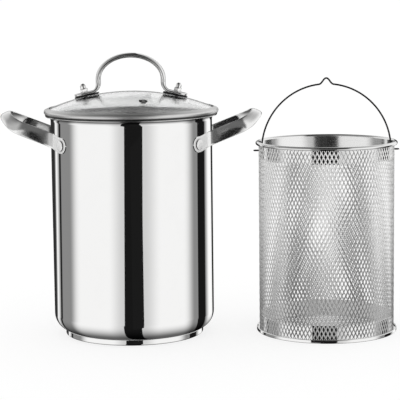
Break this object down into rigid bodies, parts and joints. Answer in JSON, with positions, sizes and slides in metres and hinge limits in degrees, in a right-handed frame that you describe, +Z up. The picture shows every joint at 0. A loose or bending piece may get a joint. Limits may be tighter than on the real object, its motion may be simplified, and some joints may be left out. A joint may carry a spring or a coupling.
{
  "type": "deep fryer pot",
  "caption": "Tall steel stockpot for deep frying, with side strap handles, a domed glass lid with an arch handle, and a lift-out mesh basket with a wire bail, standing beside it.",
  "frame": {"origin": "centre of the pot's underside, on the surface that it stands on", "axes": "+Z up along the pot's axis, +X from the pot towards the basket through both side handles, -Y towards the viewer"},
  "size_m": [0.3959, 0.173, 0.2801],
  "materials": {
    "polished_steel": "mirror-polished stainless steel",
    "satin_steel": "satin-polished stainless steel",
    "mesh_steel": "stainless expanded mesh",
    "bail_steel": "drawn stainless wire",
    "core_aluminium": "plain",
    "clear_glass": "clear tempered glass",
    "silicone": "matte silicone"
  },
  "bodies": {
    "pot": {"pot_shell": "polished_steel", "base_core_disc": "core_aluminium", "base_cap": "polished_steel", "left_handle": "satin_steel", "right_handle": "satin_steel", "left_front_rivet": "polished_steel", "left_back_rivet": "polished_steel", "right_front_rivet": "polished_steel", "right_back_rivet": "polished_steel"},
    "lid": {"lid_glass": "clear_glass", "lid_rim_ring": "satin_steel", "vent_eyelet": "polished_steel", "lid_handle": "satin_steel", "left_foot_gasket": "silicone", "right_foot_gasket": "silicone", "left_lid_bolt": "satin_steel", "right_lid_bolt": "satin_steel", "left_lid_washer": "satin_steel", "right_lid_washer": "satin_steel", "left_domed_nut": "polished_steel", "right_domed_nut": "polished_steel"},
    "basket": {"basket_rim_band": "polished_steel", "basket_mesh_wall": "mesh_steel", "basket_base_band": "polished_steel", "basket_mesh_floor": "mesh_steel"},
    "bail": {"bail_wire": "bail_steel"}
  },
  "joints": [
    {"name": "lid_lift", "type": "slide", "parent": "pot", "child": "lid", "axis": [0, 0, 1], "range_m": [0, 0.2]},
    {"name": "basket_lift", "type": "slide", "parent": "pot", "child": "basket", "axis": [0.3714, 0, 0.9285], "range_m": [0, 0.25]},
    {"name": "bail_swing", "type": "hinge", "parent": "basket", "child": "bail", "pos_m": [0.1935, 0, 0.1818], "axis": [1, 0, 0], "range_deg": [-81, 81]}
  ]
}
